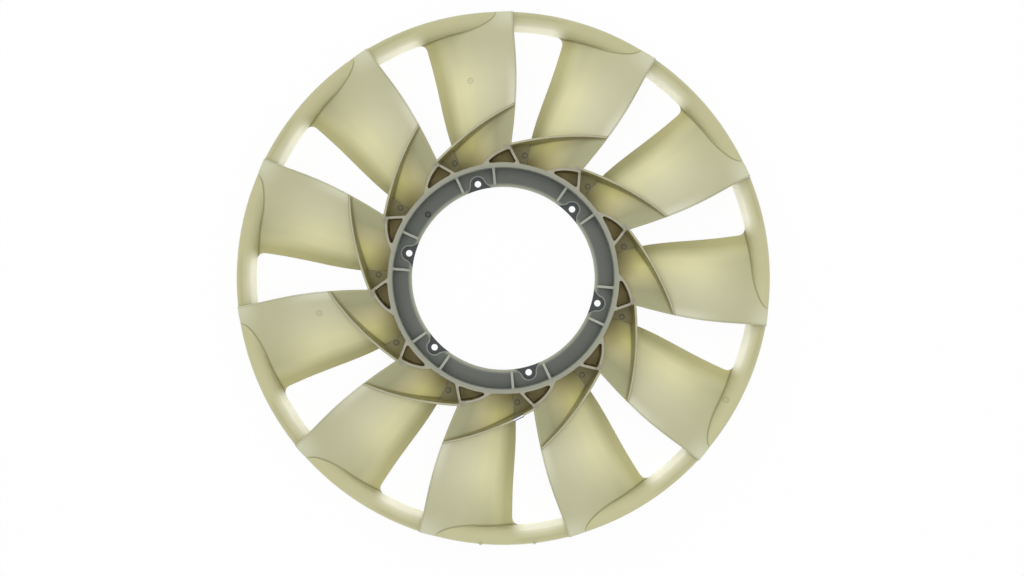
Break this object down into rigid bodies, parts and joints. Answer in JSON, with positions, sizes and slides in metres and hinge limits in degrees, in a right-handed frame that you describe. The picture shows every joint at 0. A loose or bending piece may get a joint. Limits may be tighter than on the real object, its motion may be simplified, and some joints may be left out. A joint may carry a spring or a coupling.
{
  "type": "axial fan impeller",
  "caption": "Ring-type axial cooling fan: twisted blades between a bell-mouth outer ring and a flanged hub moulded round a steel mounting ring.",
  "frame": {"origin": "centre of the main bore on the rear mounting face of the steel ring", "axes": "+Z along the fan axis towards the inlet side; +Y is up in the front view"},
  "size_m": [0.75, 0.7504, 0.0686],
  "materials": {
    "natural_nylon": "satin",
    "dark_steel": "satin",
    "spring_steel": "bright"
  },
  "bodies": {
    "root": {"impeller_moulding": "natural_nylon", "steel_mounting_ring": "dark_steel", "balance_clip": "spring_steel"}
  },
  "joints": []
}
